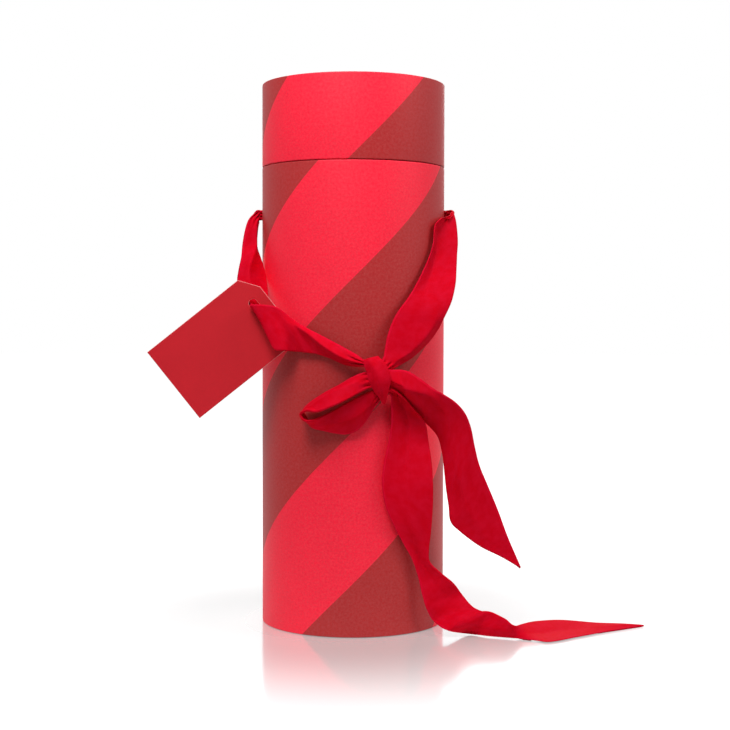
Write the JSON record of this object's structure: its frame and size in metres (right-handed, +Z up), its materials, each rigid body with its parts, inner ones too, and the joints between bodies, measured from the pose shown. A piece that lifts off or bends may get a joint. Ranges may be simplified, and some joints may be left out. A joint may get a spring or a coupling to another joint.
{
  "type": "gift tube box",
  "caption": "Tall round gift box of paper-wrapped board with a lift-off lid on an inner neck, a satin ribbon tied in a bow through side holes, and a card tag.",
  "frame": {"origin": "centre of the base's underside, on the tube's axis", "axes": "+Z up along the tube's axis, -Y towards the viewer (the bow is in front), +X to the viewer's right"},
  "size_m": [0.2925, 0.1268, 0.324],
  "materials": {
    "body_print": "matte printed paper, red with darker helical stripes",
    "lid_print": "matte printed paper, red with darker helical stripes",
    "cover_print": "matte printed paper",
    "neck_print": "matte paper",
    "lining": "uncoated lining paper",
    "board": "grey-brown board",
    "ribbon": "satin ribbon",
    "card": "matte coloured card"
  },
  "bodies": {
    "box": {"body_tube": "board", "body_wrap": "body_print", "liner_tube": "board", "neck_paper": "neck_print", "base_disc": "board", "base_cover": "cover_print", "floor_lining": "lining", "ribbon_inner_run": "ribbon", "ribbon_left_strand": "ribbon", "ribbon_right_strand": "ribbon", "ribbon_knot": "ribbon", "ribbon_loop": "ribbon", "ribbon_short_tail": "ribbon", "ribbon_long_tail": "ribbon"},
    "lid": {"lid_tube": "board", "lid_wrap": "lid_print", "lid_disc": "board", "lid_cover": "cover_print", "lid_ceiling": "lining", "lid_lining": "lining"},
    "tag": {"tag_card": "card"}
  },
  "joints": [
    {"name": "lid_lift", "type": "slide", "parent": "box", "child": "lid", "axis": [0, 0, 1], "range_m": [0, 0.06]},
    {"name": "tag_swing", "type": "hinge", "parent": "box", "child": "tag", "pos_m": [-0.05194, -0.04693, 0.18568], "axis": [-0.6225, 0, 0.7826], "range_deg": [-10, 30]}
  ]
}
